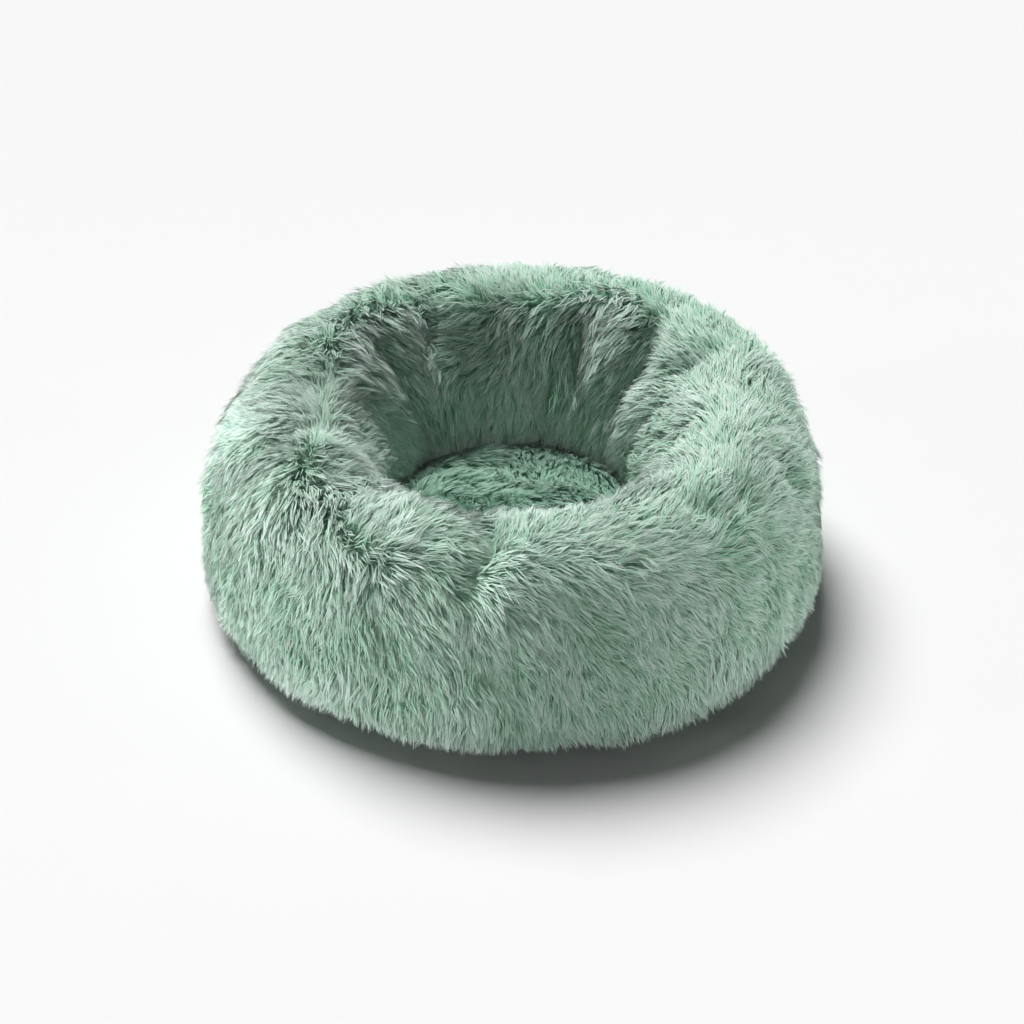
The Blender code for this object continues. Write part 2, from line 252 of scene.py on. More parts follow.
def ramp(tree, source, stops):
    node = tree.nodes.new("ShaderNodeValToRGB")
    band = node.color_ramp
    while len(band.elements) < len(stops):
        band.elements.new(0.5)
    for element, (place, colour) in zip(band.elements, stops):
        element.position = place
        element.color = (*colour, 1.0)
    tree.links.new(source, node.inputs[0])
    return node.outputs[0]


def mix_colour(tree, kind, factor, first, second):
    node = add_node(tree, "ShaderNodeMix", data_type="RGBA", blend_type=kind)
    for socket, value in ((node.inputs[0], factor), (node.inputs[6], first), (node.inputs[7], second)):
        if isinstance(value, bpy.types.NodeSocket):
            tree.links.new(value, socket)
        else:
            socket.default_value = value
    return node.outputs[2]


def noise_at(tree, scale, detail=4.0, roughness=0.6, stretch=(1, 1, 1)):
    place = add_node(tree, "ShaderNodeTexCoord")
    turn = add_node(tree, "ShaderNodeMapping")
    turn.inputs["Scale"].default_value = stretch
    tree.links.new(place.outputs["Object"], turn.inputs["Vector"])
    wool = add_node(tree, "ShaderNodeTexNoise")
    set_inputs(wool, Scale=scale, Detail=detail, Roughness=roughness)
    tree.links.new(turn.outputs[0], wool.inputs["Vector"])
    return wool.outputs["Fac"]


def add_bump(tree, shader, height, strength, distance):
    bump = add_node(tree, "ShaderNodeBump")
    set_inputs(bump, Strength=strength, Distance=distance)
    tree.links.new(height, bump.inputs["Height"])
    tree.links.new(bump.outputs[0], shader.inputs["Normal"])


def fur_material(name, root, middle, tip):
    material, tree, shader = new_material(name)
    along = add_node(tree, "ShaderNodeAttribute", attribute_name="along")
    # The tone attribute darkens and greens the pile: partly at random by tuft and lock, partly as painted shade
    # where the pile lies in shade
    tone = add_node(tree, "ShaderNodeAttribute", attribute_name="tone")
    body = ramp(tree, along.outputs["Fac"], ((0.03, root), (0.46, middle), (0.95, tip)))
    shade = ramp(tree, tone.outputs["Fac"],
                 ((0.0, (0.50, 0.68, 0.57)), (0.45, (0.80, 0.91, 0.85)), (0.85, (1.0, 1.0, 1.0))))
    coloured = mix_colour(tree, "MULTIPLY", 1.0, body, shade)
    cloud = ramp(tree, noise_at(tree, 16.0, 3.0), ((0.35, (0.90, 0.93, 0.90)), (0.65, (1.0, 1.0, 1.0))))
    coloured = mix_colour(tree, "MULTIPLY", 1.0, coloured, cloud)
    tree.links.new(coloured, shader.inputs["Base Color"])
    set_inputs(shader, Roughness=0.60)
    shader.inputs["Sheen Weight"].default_value = 0.32
    shader.inputs["Sheen Roughness"].default_value = 0.45
    shader.inputs["Sheen Tint"].default_value = (0.84, 1.0, 0.90, 1.0)
    shader.inputs["Specular IOR Level"].default_value = 0.14
    return material


def plain_cloth(name, dark, light, scale, roughness=0.85):
    material, tree, shader = new_material(name)
    wool = noise_at(tree, scale, 5.0, 0.65)
    tree.links.new(ramp(tree, wool, ((0.3, dark), (0.7, light))), shader.inputs["Base Color"])
    add_bump(tree, shader, wool, 0.5, 0.0006)
    set_inputs(shader, Roughness=roughness)
    return material


def woven_cloth(name, dark, light, threads, roughness=0.75):
    """Plain weave: two rows of threads crossing, with a little wear over them."""
    material, tree, shader = new_material(name)
    place = add_node(tree, "ShaderNodeTexCoord")
    heights = []
    for direction in ("X", "Y"):
        wave = add_node(tree, "ShaderNodeTexWave", bands_direction=direction)
        set_inputs(wave, Scale=threads, Distortion=0.6, Detail=1.0)
        tree.links.new(place.outputs["Object"], wave.inputs["Vector"])
        heights.append(wave.outputs["Fac"])
    cross = add_node(tree, "ShaderNodeMath", operation="MULTIPLY")
    tree.links.new(heights[0], cross.inputs[0])
    tree.links.new(heights[1], cross.inputs[1])
    base = ramp(tree, cross.outputs[0], ((0.1, dark), (0.7, light)))
    wear = ramp(tree, noise_at(tree, 30.0), ((0.3, (0.80, 0.80, 0.80)), (0.7, (1.0, 1.0, 1.0))))
    tree.links.new(mix_colour(tree, "MULTIPLY", 1.0, base, wear), shader.inputs["Base Color"])
    add_bump(tree, shader, cross.outputs[0], 0.4, 0.0003)
    set_inputs(shader, Roughness=roughness)
    return material


def brushed_metal(name):
    material, tree, shader = new_material(name)
    grain = noise_at(tree, 900.0, 3.0, 0.6, (1, 1, 12))
    tree.links.new(ramp(tree, grain, ((0.3, (0.42, 0.42, 0.43)), (0.7, (0.62, 0.62, 0.63)))),
                   shader.inputs["Base Color"])
    rough = ramp(tree, grain, ((0.3, (0.28, 0.28, 0.28)), (0.7, (0.42, 0.42, 0.42))))
    tree.links.new(rough, shader.inputs["Roughness"])
    set_inputs(shader, Metallic=1.0)
    add_bump(tree, shader, grain, 0.15, 0.0001)
    return material


# The camera, and what the photograph's points fall on

def make_camera():
    data = bpy.data.cameras.new("camera")
    camera = bpy.data.objects.new("camera", data)
    bpy.context.scene.collection.objects.link(camera)
    data.sensor_width = 36
    data.lens = focus_pixels / photo_width * data.sensor_width
    back = Vector((0, -math.cos(camera_elevation), math.sin(camera_elevation)))
    camera.location = camera_middle + back * camera_distance
    camera.rotation_mode = "QUATERNION"
    camera.rotation_quaternion = (camera_aim - camera.location).to_track_quat("-Z", "Y")
    bpy.context.scene.camera = camera
    return camera


def photo_ray(camera, column, row):
    """The way from the camera to a point of the photograph, and the photograph's right and down."""
    turn = camera.rotation_quaternion.to_matrix()
    half = photo_width / 2
    ray = turn @ Vector(((column - half) / focus_pixels, (half - row) / focus_pixels, -1))
    return ray.normalized(), turn.col[0].copy(), -turn.col[1]


def read_marks(camera, tree, marks):
    """Place and combed way on the pile of each mark read off the photograph."""
    spots, ways = [], []
    for column, row, heading in marks:
        ray, right, down = photo_ray(camera, column, row)
        spot, normal, _, _ = tree.ray_cast(camera.location, ray)
        if spot is None:
            continue
        if normal.dot(ray) > 0:
            normal = -normal
        angle = math.radians(heading)
        way = right * math.cos(angle) + down * math.sin(angle)
        facing = max(-normal.dot(ray), 0.35)
        way = way + ray * (way.dot(normal) / facing)
        way -= normal * way.dot(normal)
        spots.append(spot)
        ways.append(way.normalized())
    return np.array(spots), np.array(ways)


# The ring's section and cloth

def superellipse(centre, reach, rise, power, spans):
    turn = np.linspace(0.0, math.pi / 2, spans + 1)
    across = np.clip(np.cos(turn), 0.0, 1.0) ** (2 / power)
    along = np.clip(np.sin(turn), 0.0, 1.0) ** (2 / power)
    return np.stack([centre[0] + reach * across, centre[1] + rise * along], 1)


def ring_section(inset):
    """Radius and height along the visible section, from the well's foot over the crest to the seam below."""
    inner = superellipse((crest_radius, waist_height), well_radius - crest_radius + inset,
                         bed_height - waist_height - inset, inner_power, 24)
    outer = superellipse((crest_radius, bulge_height), bed_radius - crest_radius - inset,
                         bed_height - bulge_height - inset, shoulder_power, 24)
    tuck = superellipse((foot_radius, bulge_height), bed_radius - foot_radius - inset,
                        skirt_height - bulge_height + inset * 0.1, tuck_power, 12)
    start = np.array([[well_radius + inset, floor_top + 0.004]])
    return np.vstack([start, inner, outer[::-1][1:], tuck[1:]])


def along_line(points, shares):
    """Places at given shares of a line's length."""
    steps = np.linalg.norm(np.diff(points, axis=0), axis=1)
    length = np.concatenate([[0.0], np.cumsum(steps)])
    return np.stack([np.interp(shares * length[-1], length, points[:, k]) for k in range(points.shape[1])], 1)


def turned_points(section, turns):
    reach = section[None, :, 0]
    points = [reach * np.cos(turns)[:, None], reach * np.sin(turns)[:, None],
              np.broadcast_to(section[None, :, 1], (len(turns), len(section)))]
    return np.stack(points, -1)


def turned_tree(section, steps=120):
    """Surface of a section turned about the bed's axis, to cast rays on."""
    points = turned_points(section, np.arange(steps) * 2 * math.pi / steps)
    count = len(section)
    faces = []
    for turn in range(steps):
        here, ahead = turn * count, (turn + 1) % steps * count
        faces += [(here + k, ahead + k, ahead + k + 1, here + k + 1) for k in range(count - 1)]
    return BVHTree.FromPolygons([Vector(p) for p in points.reshape(-1, 3)], faces)


def make_ring(name, inset, majors, minors):
    """Torus drawn to the ring's closed section, with gathers at the well."""
    bpy.ops.mesh.primitive_torus_add(major_segments=majors, minor_segments=minors,
                                     major_radius=bed_radius * 0.7, minor_radius=bed_radius * 0.25)
    ring = bpy.context.object
    ring.name = name
    visible = ring_section(inset)[::-1]
    hem = np.array([[visible[0][0] - 0.012, visible[0][1]]])
    toe = np.array([[visible[-1][0] + 0.012, visible[-1][1]]])
    loop = np.vstack([visible, toe, hem, visible[:1]])
    widest = int(np.argmax(visible[:, 0]))
    loop = np.vstack([loop[widest:], loop[1:widest + 1]])
    section = along_line(loop, np.arange(minors) / minors)
    turns = np.arange(majors) * 2 * math.pi / majors
    points = turned_points(section, turns).reshape(-1, 3)
    reach = np.hypot(points[:, 0], points[:, 1])
    fade = np.clip((crest_radius - reach) / (crest_radius - well_radius), 0, 1) ** 1.3
    turn = np.arctan2(points[:, 1], points[:, 0])
    wave = 0.5 - 0.5 * np.cos(gathers * turn + 0.6 * np.sin(3 * turn))
    points[:, :2] *= (1 + gather_depth * fade * wave / reach)[:, None]
    set_points(ring, points)
    return ring


def puff(piece, pinned, cap):
    """Blow the cloth up as its filling does, held where it is sewn, and no further than a cap."""
    start = get_points(piece)
    sewn = piece.vertex_groups.new(name="sewn")
    sewn.add([int(index) for index in np.flatnonzero(pinned)], 1.0, "ADD")
    cloth = piece.modifiers.new("cloth", "CLOTH")
    cloth.settings.quality = 5
    cloth.settings.mass = 0.3
    cloth.settings.use_pressure = True
    cloth.settings.uniform_pressure_force = 4
    cloth.settings.shrink_min = -0.04
    cloth.settings.vertex_group_mass = sewn.name
    cloth.settings.effector_weights.gravity = 0
    cloth.collision_settings.use_collision = False
    scene = bpy.context.scene
    for moment in range(1, 21):
        scene.frame_set(moment)
    shaped = piece.evaluated_get(bpy.context.evaluated_depsgraph_get())
    ended = get_points(shaped)
    piece.modifiers.remove(cloth)
    scene.frame_set(1)
    move = ended - start
    size = np.maximum(np.linalg.norm(move, axis=1, keepdims=True), 1e-9)
    set_points(piece, start + move / size * cap * np.tanh(size / cap))


def line_distance(points, line):
    """Distance from each point to a line through a few places."""
    if len(line) == 1:
        return np.linalg.norm(points - line[0], axis=1)
    nearest = np.full(len(points), np.inf)
    for first, last in zip(line, line[1:]):
        run = last - first
        share = np.clip((points - first) @ run / (run @ run), 0, 1)
        nearest = np.minimum(nearest, np.linalg.norm(points - first - share[:, None] * run, axis=1))
    return nearest


def read_lines(camera, tree, cloth, features):
    """Lines on a cloth under lines read off the photograph, each with its depth and half width."""
    own = tree_of(cloth)
    lines = []
    for pixels, depth, width in features:
        spots = [tree.ray_cast(camera.location, photo_ray(camera, *pixel)[0])[0] for pixel in pixels]
        line = [np.array(own.find_nearest(spot)[0]) for spot in spots if spot is not None]
        if line:
            lines.append((line, depth, width))
    return lines


def press(piece, lines, way):
    """Sink folds into a piece's cloth, or swell it, along lines."""
    points = get_points(piece)
    normals = np.array([v.normal for v in piece.data.vertices])
    for line, depth, width in lines:
        near = np.exp(-(line_distance(points, line) / width) ** 2)
        points += normals * (way * depth * near)[:, None]
    set_points(piece, points)


def patch_share(places, spots):
    """How far each place lies within patches, from 0 to 1."""
    share = np.zeros(len(places))
    for line, strength, width in spots:
        share = np.maximum(share, strength * np.exp(-(line_distance(places, line) / width) ** 2))
    return share


def hollow(places, lines):
    """How deep in a fold each place is, from 0 to 1."""
    deepest = np.zeros(len(places))
    for line, depth, width in lines:
        near = np.exp(-(line_distance(places, line) / (width * 1.1)) ** 2) * min(depth / 0.012, 1)
        deepest = np.maximum(deepest, near)
    return deepest


def tree_of(thing):
    return BVHTree.FromObject(thing, bpy.context.evaluated_depsgraph_get())


# Locks of pile

def model_lock(steps):
    """One lock, three-sided and a unit long: its root closed, its belly fuller, drawn to a point."""
    deselect()
    bpy.ops.mesh.primitive_circle_add(vertices=3, radius=0.72, fill_type="NGON")
    lock = bpy.context.object
    bpy.ops.object.mode_set(mode="EDIT")
    bpy.ops.mesh.select_all(action="SELECT")
    for rise, swell in steps:
        bpy.ops.mesh.extrude_region_move(TRANSFORM_OT_translate={"value": (0, 0, rise)})
        bpy.ops.transform.resize(value=(swell, swell, 1))
    bpy.ops.mesh.extrude_region_move(TRANSFORM_OT_translate={"value": (0, 0, 1 - sum(s[0] for s in steps))})
    bpy.ops.mesh.merge(type="CENTER")
    bpy.ops.mesh.select_all(action="SELECT")
    bpy.ops.mesh.normals_make_consistent(inside=False)
    bpy.ops.object.mode_set(mode="OBJECT")
    places = get_points(lock)
    faces = [list(face.vertices) for face in lock.data.polygons]
    bpy.data.objects.remove(lock)
    return places, faces


def plant(name, shape, joints, stops, girth, upward, tone, material, body):
    """Bend a copy of the lock along each row of joints and join them into one piece."""
    places, faces = shape
    count = len(joints)
    level = np.clip(places[:, 2], 0, 1)
    centre = np.empty((count, len(places), 3))
    for index, share in enumerate(level):
        k = min(int(np.searchsorted(stops, share + 1e-6, side="right")) - 1, len(stops) - 2)
        part = (share - stops[k]) / (stops[k + 1] - stops[k])
        centre[:, index] = joints[:, k] * (1 - part) + joints[:, k + 1] * part
    axis = unit(joints[:, -1] - joints[:, 0])
    side = unit(np.cross(axis, upward))
    over = np.cross(axis, side)
    points = centre + girth[:, None, None] * (places[None, :, 0, None] * side[:, None]
                                               + places[None, :, 1, None] * over[:, None])
    mesh = bpy.data.meshes.new(name)
    sizes = np.array([len(face) for face in faces])
    corners = np.concatenate(faces)
    loops = (corners[None] + np.arange(count)[:, None] * len(places)).ravel()
    starts = np.concatenate([[0], np.cumsum(np.tile(sizes, count))[:-1]])
    mesh.vertices.add(count * len(places))
    mesh.vertices.foreach_set("co", points.astype(np.float32).ravel())
    mesh.loops.add(len(loops))
    mesh.loops.foreach_set("vertex_index", loops.astype(np.int32))
    mesh.polygons.add(len(starts))
    mesh.polygons.foreach_set("loop_start", starts.astype(np.int32))
    mesh.update(calc_edges=True)
    along = mesh.attributes.new("along", "FLOAT", "POINT")
    along.data.foreach_set("value", np.tile(level, count).astype(np.float32))
    shade = mesh.attributes.new("tone", "FLOAT", "POINT")
    shade.data.foreach_set("value", np.repeat(tone, len(places)).astype(np.float32))
    cells = math.ceil(math.sqrt(count))
    angle = np.arctan2(places[:, 1], places[:, 0]) / (2 * math.pi) % 1.0
    flat = np.stack([0.1 + 0.8 * angle, 0.1 + 0.8 * level], 1)[corners]
    cell = np.stack([np.arange(count) % cells, np.arange(count) // cells], 1)
    layer = mesh.uv_layers.new(name="OFBake")
    layer.data.foreach_set("uv", ((flat[None] + cell[:, None]) / cells).astype(np.float32).ravel())
    mesh.shade_smooth()
    mesh.validate()
    round_way = unit(places[:, :1] * side[:, None] + places[:, 1:2] * over[:, None])
    ends = np.hypot(places[:, 0], places[:, 1]) < 1e-6
    round_way[:, ends] = axis[:, None]
    normals = unit(round_way * (1 - skin_shading) + upward[:, None] * skin_shading)
    mesh.normals_split_custom_set_from_vertices(normals.reshape(-1, 3))
    piece = bpy.data.objects.new(name, mesh)
    bpy.context.scene.collection.objects.link(piece)
    mesh.materials.append(material)
    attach(piece, body)
    return piece


def nearest_on(tree, points):
    """Nearest places and normals on a surface."""
    found = [tree.find_nearest(Vector(p)) for p in points]
    return np.array([f[0] for f in found]), np.array([f[1] for f in found])


def gather_tufts(roots, pitch, key):
    """Number of the tuft that each root belongs to: the nearest of centres picked at about the pitch."""
    draw = np.random.default_rng(key)
    spacing = np.floor(roots / pitch).astype(np.int64) @ np.array([73856093, 19349663, 83492791])
    order = draw.permutation(len(roots))
    _, first = np.unique(spacing[order], return_index=True)
    centres = roots[order[first]]
    centres = centres[draw.uniform(size=len(centres)) < 0.62]
    tree = KDTree(len(centres))
    for index, centre in enumerate(centres):
        tree.insert(centre, index)
    tree.balance()
    return np.array([tree.find(root)[1] for root in roots]), len(centres)


def comb(places, normals, rest, marks, spread):
    """Way that the pile lies: as the marks around a place say, and as it rests where there are none."""
    spots, ways = marks
    gap = (places ** 2).sum(1)[:, None] + (spots ** 2).sum(1)[None] - 2 * places @ spots.T
    weight = np.exp(-np.maximum(gap, 0) / (2 * spread ** 2))
    total = weight.sum(1, keepdims=True)
    hold = total / (total + 0.10)
    way = hold * (weight @ ways) / np.maximum(total, 1e-9) + (1 - hold) * rest
    return way - normals * (way * normals).sum(1, keepdims=True)


def swing(ways, normals, angle):
    """Turn each way about the surface's normal."""
    return ways * np.cos(angle)[:, None] + np.cross(normals, ways) * np.sin(angle)[:, None]


def held(values, limit):
    """Draw in what stands out past a limit, so that it levels off within a few millimetres."""
    return np.where(values > limit, limit + 0.0085 * np.tanh((values - limit) / 0.0085), values)


def lay_locks(roots, normals, ways, length, lift, pull, stops, pitch, lowest, key):
    """Joints of each lock: up from its root, over along its way, its tip drawn to its tuft's."""
    draw = np.random.default_rng(key)
    tuft, tufts = gather_tufts(roots, pitch, key + 1)
    stray = draw.normal(size=(tufts, 3))[tuft]
    stray -= normals * (stray * normals).sum(1, keepdims=True)
    wisp, wisps = gather_tufts(roots, pitch * wisp_span, key + 2)
    firm = np.linalg.norm(ways, axis=1)
    ways = swing(unit(ways + 0.13 * stray), normals, 0.20 * draw.normal(size=wisps)[wisp])
    lift = lift + (1 - np.clip(firm, 0, 1)) * 0.50 + 0.12 * draw.normal(size=tufts)[tuft]
    lift += 0.08 * draw.normal(size=wisps)[wisp]
    lift = np.clip(lift, 0.25, 1.5)
    length = length * (1 + 0.10 * draw.normal(size=tufts)[tuft]).clip(0.75, 1.2)
    wave = draw.normal(size=tufts)[tuft] * 0.20 + draw.normal(size=len(roots)) * 0.10
    sideways = np.cross(normals, ways)
    joints = np.empty((len(roots), len(stops), 3))
    joints[:, 0] = roots - normals * 0.0012
    steps = len(stops) - 1
    for index in range(steps):
        angle = lift - 0.95 * (index / steps) - 0.12 * index
        across = wave * (1 if index % 2 else -1)
        step = (normals * np.sin(angle)[:, None] + ways * np.cos(angle)[:, None]
                + sideways * across[:, None] + np.array([0, 0, -0.12 * index]))
        share = stops[index + 1] - stops[index]
        joints[:, index + 1] = joints[:, index] + unit(step) * (length * share)[:, None]
    for group, groups, share in ((tuft, tufts, pull), (wisp, wisps, 0.19)):
        size = np.maximum(np.bincount(group, minlength=groups), 1)
        for index in range(1, steps + 1):
            drawn = share * (index / steps) ** 1.4
            middle = np.stack([np.bincount(group, joints[:, index, k], groups) / size for k in range(3)], 1)
            joints[:, index] += (middle[group] - joints[:, index]) * drawn
    joints[:, 1:, 2] = np.maximum(joints[:, 1:, 2], lowest[:, None])
    reach = np.hypot(joints[..., 0], joints[..., 1])
    joints[..., :2] *= (held(reach, bed_radius + 0.001) / reach)[..., None]
    joints[..., 2] = held(joints[..., 2], bed_height + 0.006)
    return joints, draw.uniform(0, 1, tufts)[tuft]


def ring_roots(pitch, key):
    """Roots spread evenly over the visible ring: turn angle and share along the section."""
    draw = np.random.default_rng(key)
    section = ring_section(skin_depth)
    length = np.linalg.norm(np.diff(section, axis=0), axis=1).sum()
    rows = int(length / pitch)
    turns, shares = [], []
    for row in range(rows):
        share = (row + 0.5) / rows
        reach = along_line(section, np.array([share]))[0, 0]
        many = int(2 * math.pi * reach / pitch)
        turns.append((np.arange(many) + draw.uniform(0, 1) + draw.uniform(-0.45, 0.45, many)) * 2 * math.pi / many)
        shares.append(share + draw.uniform(-0.5, 0.5, many) / rows)
    return np.concatenate(turns) % (2 * math.pi), np.clip(np.concatenate(shares), 0.002, 0.998)


def ring_frame(turn, share):
    """Place on the unfolded cloth, the way along its section and the way out of it."""
    section = ring_section(skin_depth)
    here = along_line(section, share)
    slope = unit(along_line(section, np.clip(share + 0.01, 0, 1)) - along_line(section, np.clip(share - 0.01, 0, 1)))
    cos, sin = np.cos(turn), np.sin(turn)
    place = np.stack([here[:, 0] * cos, here[:, 0] * sin, here[:, 1]], 1)
    down = np.stack([slope[:, 0] * cos, slope[:, 0] * sin, slope[:, 1]], 1)
    out = np.stack([-slope[:, 1] * cos, -slope[:, 1] * sin, slope[:, 0]], 1)
    return place, down, out


def over_zip(turn):
    return 1 - smooth_step(np.abs(turn - math.pi / 2), zip_half_turn + 0.02, zip_half_turn + 0.24)


def grow_ring_fur(cloth, marks, fold_lines, standing_spots, material):
    tree = tree_of(cloth)
    kinds = (("pile", lock_steps, lock_pitch, lock_length, lock_girth, 1.0, 0.50, 11),
             ("strays", (), stray_pitch, lock_length * 0.96, stray_girth, 0.60, 0.34, 31))
    for name, bends, pitch, length, girth, rise, pull, key in kinds:
        shape = model_lock(bends)
        stops = np.array([0.0, *(bend[0] for bend in bends), 1.0])
        draw = np.random.default_rng(key)
        turn, share = ring_roots(pitch, key)
        place, down, out = ring_frame(turn, share)
        for line, depth, width in fold_lines:
            place -= out * (depth * np.exp(-(line_distance(place, line) / width) ** 2))[:, None]
        roots, normals = nearest_on(tree, place)
        count = len(roots)
        parting = 0.42 + 0.04 * ripple(roots, 0.30, 5)
        rest = down * np.tanh((share - parting) / 0.05)[:, None]
        rest = swing(rest, normals, 0.55 * ripple(roots, 0.20, 7)) * (1 - 0.4 * smooth_step(
            ripple(roots, 0.12, 9), 0.4, 1.6))[:, None]
        ways = comb(roots, normals, rest, marks, 0.017)
        ways = swing(ways, normals, 0.16 * ripple(roots, 0.055, 8))
        foot = smooth_step(share, 0.80, 0.93)[:, None]
        hanging = np.stack([0.68 * np.cos(turn), 0.68 * np.sin(turn), -np.ones(count)], 1)
        hanging = swing(hanging, normals, 0.45 * ripple(roots, 0.05, 14))
        ways = ways * (1 - 0.62 * foot) + 0.62 * hanging * foot
        fold = hollow(roots, fold_lines)
        parted = over_zip(turn) * smooth_step(share, 0.84, 0.92)
        ragged = draw.uniform(-0.17, 0.17, count) + 0.08 * ripple(roots, 0.05, key + 2).clip(-2, 2)
        long = length * (0.97 + ragged * (1 - 0.85 * foot[:, 0]))
        raised = patch_share(roots, standing_spots)
        long *= 1 + 0.12 * foot[:, 0] - 0.34 * smooth_step(share, 0.93, 0.985) - 0.50 * parted - 0.15 * fold
        long *= 0.80 + 0.20 * smooth_step(share, 0.08, 0.26)
        lift = rise * (0.64 - 0.12 * foot[:, 0] + 0.42 * raised) + 0.08 * draw.normal(size=count).clip(-2, 2)
        lowest = 0.0022 + (zip_high - 0.0010) * parted + draw.uniform(0, 0.0012, count)
        joints, tuft = lay_locks(roots, normals, ways, long, lift, pull, stops, tuft_pitch, lowest, key + 4)
        # Tone varies at random by tuft and lock; the rest is painted shade: darker in folds, where the pile stands
        # up, deep in the well and low on the outer wall
        tone = np.clip(0.74 + 0.32 * (tuft - 0.5) + 0.12 * draw.normal(size=count)
                       + 0.10 * ripple(roots, 0.07, key + 5) - 0.45 * fold - 0.12 * raised
                       - 0.08 * (1 - smooth_step(share, 0.25, 0.42))
                       - 0.32 * smooth_step(share, 0.60, 0.78), 0, 1)
        thick = girth * draw.uniform(0.75, 1.25, count)
        panels = math.ceil(count * (4 + 6 * len(bends)) / 190000)
        panel = np.minimum((turn / (2 * math.pi) * panels).astype(int), panels - 1)
        for index in range(panels):
            chosen = panel == index
            plant(f"bolster_fur_{name}_{index + 1:02d}", shape, joints[chosen], stops, thick[chosen],
                  normals[chosen], tone[chosen], material, "bed")


# The centre cushion

def pad_section(inset):
    """Radius and height over the cushion, from its seam to its middle."""
    belly = pad_seam + 0.0095
    dome = superellipse((0.0, belly), pad_radius - inset, pad_top + pad_swell - belly - inset, pad_power, 24)
    return np.vstack([[[pad_radius - 0.004 - inset, pad_seam]], dome])


def make_pad_top(material):
    """Upper cloth of the cushion, blown up by its filling, and the surface that its pile grows from."""
    section = along_line(pad_section(pad_skin_depth), np.linspace(0, 1, 24))
    top = turned_sheet("cushion_top_cloth", [tuple(point) for point in section], 72)
    heights = get_points(top)[:, 2]
    puff(top, heights < pad_seam + 0.003, 0.003)
    finer = top.modifiers.new("finer", "SUBSURF")
    finer.levels = finer.render_levels = 1
    apply_modifiers(top)
    tree = tree_of(top)
    finish_cloth(top, 0.0008, "centre_cushion", "mint_fur", material, "cushion_fur_top")
    return tree


def grow_pad_fur(tree, marks, material):
    stops = np.array([0.0, lock_steps[0][0], 1.0])
    shape = model_lock(lock_steps)
    draw = np.random.default_rng(71)
    section = pad_section(pad_skin_depth)
    length = np.linalg.norm(np.diff(section, axis=0), axis=1).sum()
    pitch = 0.0018
    rows = int(length / pitch)
    turns, shares = [], []
    for row in range(rows):
        share = (row + 0.5) / rows
        reach = along_line(section, np.array([share]))[0, 0]
        many = max(int(2 * math.pi * reach / pitch), 3)
        turns.append((np.arange(many) + draw.uniform(-0.45, 0.45, many)) * 2 * math.pi / many)
        shares.append(share + draw.uniform(-0.5, 0.5, many) / rows)
    turn, share = np.concatenate(turns), np.clip(np.concatenate(shares), 0.01, 0.998)
    here = along_line(section, share)
    place = np.stack([here[:, 0] * np.cos(turn), here[:, 0] * np.sin(turn), here[:, 1] + 0.002], 1)
    roots, normals = nearest_on(tree, place)
    count = len(roots)
    side = smooth_step(np.hypot(roots[:, 0], roots[:, 1]), pad_radius - 0.022, pad_radius - 0.006)[:, None]
    rest = np.stack([np.cos(turn), np.sin(turn), np.zeros(count)], 1) * 0.4 + np.array([0.5, -0.3, 0])
    rest = rest * (1 - side) + np.stack([np.cos(turn), np.sin(turn), np.full(count, -0.8)], 1) * side
    ways = comb(roots, normals, rest, marks, 0.014)
    ways = swing(ways, normals, 0.30 * ripple(roots, 0.04, 72))
    long = pad_lock_length * draw.uniform(0.8, 1.15, count) * (1 - 0.25 * side[:, 0])
    lift = 0.82 + 0.14 * ripple(roots, 0.05, 73).clip(-1.5, 1.5) - 0.35 * side[:, 0]
    lowest = np.full(count, floor_top + 0.002)
    joints, tuft = lay_locks(roots, normals, ways, long, lift, 0.34, stops, 0.0040, lowest, 74)
    # Tone varies at random by tuft and lock around a low middle, which is painted shade for the cushion lying in the
    # well
    tone = np.clip(0.43 + 0.18 * (tuft - 0.5) + 0.10 * draw.normal(size=count), 0, 1)
    thick = lock_girth * 0.72 * draw.uniform(0.75, 1.25, count)
    plant("cushion_fur_pile", shape, joints, stops, thick, normals, tone, material, "centre_cushion")


# Sheets, rings and strips of cloth

def finish_cloth(piece, thickness, body, slot, material, *replaced):
    """Give a cloth its thickness, face it outward and hand it over in place of its solids."""
    skin = piece.modifiers.new("thickness", "SOLIDIFY")
    skin.thickness = thickness
    skin.offset = -1
    apply_modifiers(piece)
    face_outward(piece)
    hand_over(piece, body, slot, material, *replaced)


def face_outward(piece):
    activate(piece)
    bpy.ops.object.mode_set(mode="EDIT")
    bpy.ops.mesh.select_all(action="SELECT")
    bpy.ops.mesh.normals_make_consistent(inside=False)
    bpy.ops.object.mode_set(mode="OBJECT")


def hand_over(piece, body, slot, material, *replaced):
    piece.data.materials.clear()
    piece.data.materials.append(material)
    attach(piece, body)
    if replaced:
        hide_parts(*replaced)
    if piece.type == "MESH":
        piece.data.shade_smooth()


def turned_sheet(name, section, columns):
    """Cloth turned to a section that ends at the axis: a circle extruded once for each of its rows."""
    deselect()
    bpy.ops.mesh.primitive_circle_add(vertices=columns, radius=section[0][0], fill_type="NOTHING")
    sheet = bpy.context.object
    sheet.name = name
    bpy.ops.object.mode_set(mode="EDIT")
    bpy.ops.mesh.select_all(action="SELECT")
    for _ in section[1:]:
        bpy.ops.mesh.extrude_edges_move(TRANSFORM_OT_translate={"value": (0, 0, row_step)})
    bpy.ops.mesh.merge(type="CENTER")
    bpy.ops.object.mode_set(mode="OBJECT")
    points = get_points(sheet)
    row = np.clip(np.rint(points[:, 2] / row_step).astype(int), 0, len(section) - 1)
    turn = np.arctan2(points[:, 1], points[:, 0])
    reach, height = np.array(section)[row].T
    set_points(sheet, np.stack([reach * np.cos(turn), reach * np.sin(turn), height], 1))
    face_outward(sheet)
    return sheet


